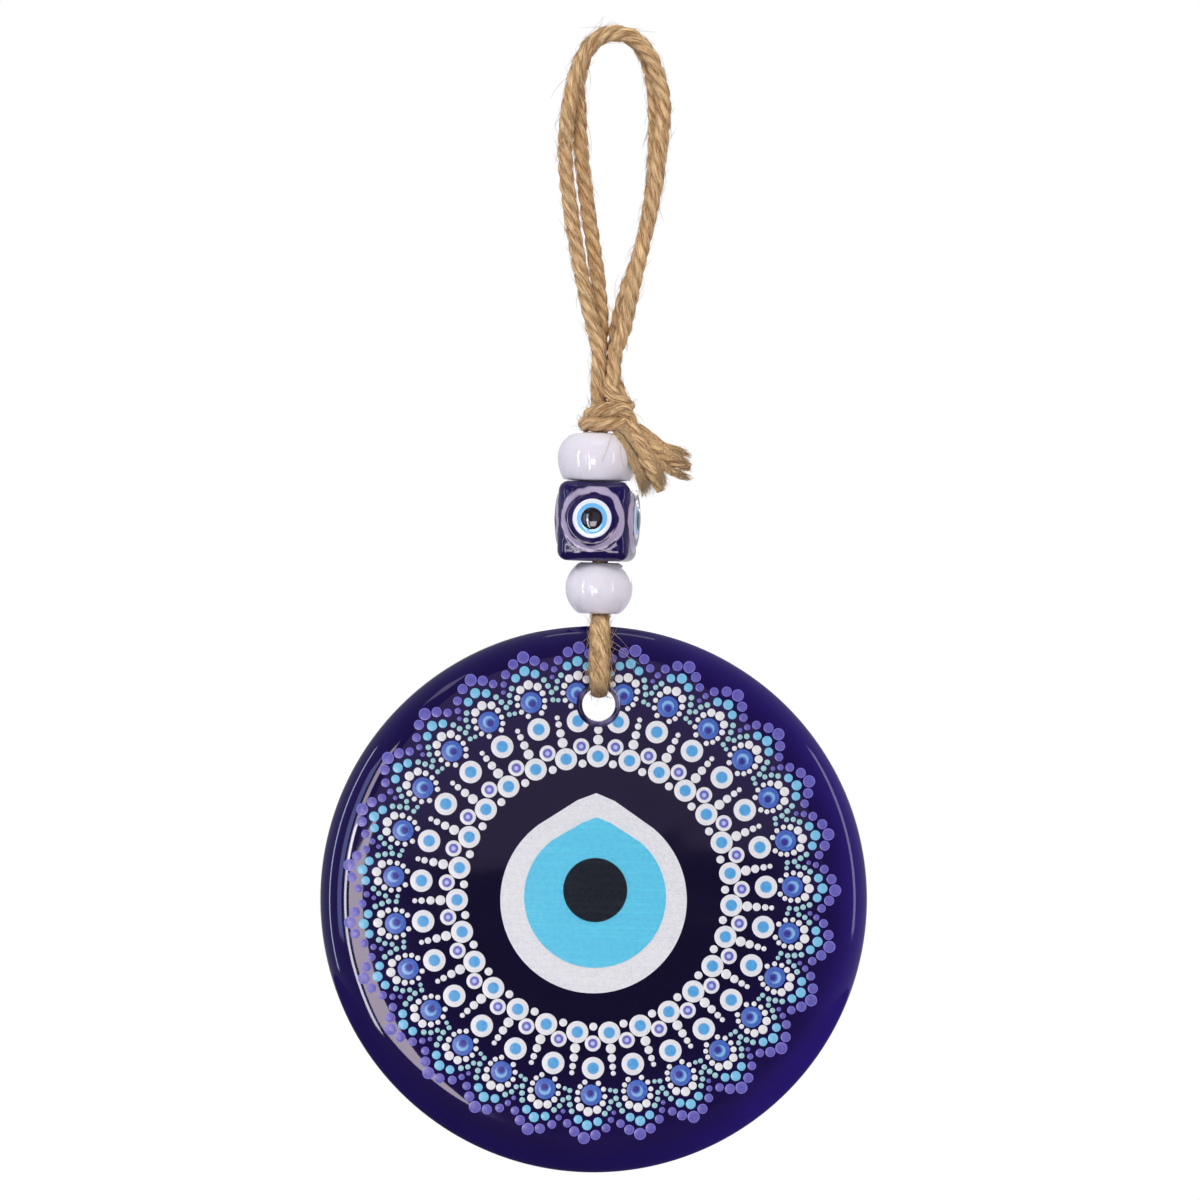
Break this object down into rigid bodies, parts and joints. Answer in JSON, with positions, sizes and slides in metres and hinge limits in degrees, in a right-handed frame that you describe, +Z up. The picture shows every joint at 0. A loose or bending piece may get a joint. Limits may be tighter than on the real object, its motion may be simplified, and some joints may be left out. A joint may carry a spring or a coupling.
{
  "type": "evil eye ornament",
  "caption": "Hanging glass eye charm: a printed cobalt disc below barrel and cube beads, threaded on one doubled and knotted jute cord.",
  "frame": {"origin": "the point inside the crown of the cord loop where the nail or hook bears", "axes": "+Z up, the printed face of the disc looks along -Y, +X to the right of someone facing the eye"},
  "size_m": [0.12, 0.0194, 0.2513],
  "materials": {
    "cobalt_glass": "gloss",
    "dark_print": "gloss",
    "white_print": "gloss",
    "turquoise_print": "gloss",
    "black_print": "gloss",
    "white_bead": "gloss",
    "blue_bead": "gloss",
    "jute": "matte"
  },
  "bodies": {
    "hanger": {"loop_front_strand": "jute", "loop_back_strand": "jute", "cord_knot": "jute", "tail_upper": "jute", "tail_lower": "jute", "leg_front": "jute", "leg_back": "jute"},
    "upper_bead": {"upper_bead": "white_bead"},
    "cube_bead": {"cube_bead": "blue_bead", "front_white": "white_print", "front_blue": "turquoise_print", "front_pupil": "black_print", "back_white": "white_print", "back_blue": "turquoise_print", "back_pupil": "black_print", "left_white": "white_print", "left_blue": "turquoise_print", "left_pupil": "black_print", "right_white": "white_print", "right_blue": "turquoise_print", "right_pupil": "black_print"},
    "lower_bead": {"lower_bead": "white_bead"},
    "bight": {"cord_bight": "jute"},
    "disc": {"glass_disc": "cobalt_glass", "dot_band": "dark_print", "eye_white": "white_print", "eye_iris": "turquoise_print", "eye_pupil": "black_print"}
  },
  "joints": [
    {"name": "upper_bead_spin", "type": "hinge", "parent": "hanger", "child": "upper_bead", "pos_m": [-0.0017, 0, -0.0913], "axis": [0, 0, 1], "continuous": true},
    {"name": "cube_bead_spin", "type": "hinge", "parent": "hanger", "child": "cube_bead", "pos_m": [-0.0013, 0, -0.1056], "axis": [0, 0, 1], "continuous": true},
    {"name": "lower_bead_spin", "type": "hinge", "parent": "hanger", "child": "lower_bead", "pos_m": [-0.0006, 0, -0.12], "axis": [0, 0, 1], "continuous": true},
    {"name": "disc_tilt", "type": "hinge", "parent": "hanger", "child": "bight", "pos_m": [0, 0, -0.126], "axis": [1, 0, 0], "range_deg": [-25, 25], "deforming": ["cord_bight"]},
    {"name": "disc_swing", "type": "hinge", "parent": "bight", "child": "disc", "pos_m": [0, 0, -0.1435], "axis": [0, 1, 0], "range_deg": [-20, 20]}
  ]
}
